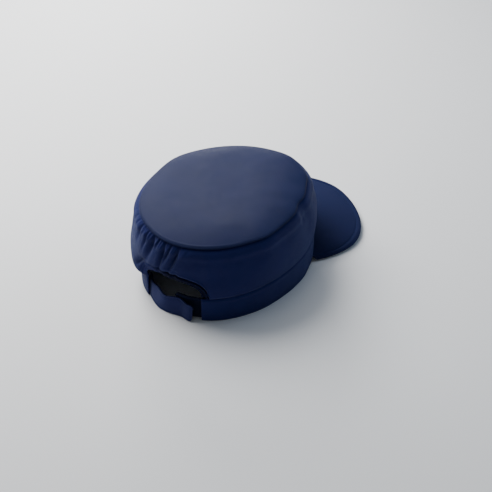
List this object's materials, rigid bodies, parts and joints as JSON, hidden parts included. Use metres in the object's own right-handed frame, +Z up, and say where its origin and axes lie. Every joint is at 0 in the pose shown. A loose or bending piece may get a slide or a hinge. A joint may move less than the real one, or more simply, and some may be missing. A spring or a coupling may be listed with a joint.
{
  "type": "peaked cloth cap",
  "caption": "Soft flat-topped cloth cap with a stiff stitched peak, gathered side, head band and an arched back opening with a lapped closing strap.",
  "frame": {"origin": "middle of the bounding box, on the ground plane that the hem lies on", "axes": "+Z up, -Y to the tip of the peak, -X to the wearer's right"},
  "size_m": [0.1764, 0.2808, 0.1037],
  "materials": {
    "top_cloth": "matt woven cotton, navy blue",
    "side_cloth": "matt woven cotton, navy blue",
    "binding_cloth": "matt woven cotton, navy blue",
    "band_cloth": "matt woven cotton, navy blue",
    "strap_cloth": "matt woven cotton, navy blue",
    "tab_cloth": "matt woven cotton, navy blue",
    "peak_cloth": "matt woven cotton over a stiff board, navy blue"
  },
  "bodies": {
    "root": {"crown_top": "top_cloth", "crown_side": "side_cloth", "opening_binding": "binding_cloth", "band": "band_cloth", "closing_strap": "strap_cloth", "strap_tab": "tab_cloth", "peak": "peak_cloth"}
  },
  "joints": []
}
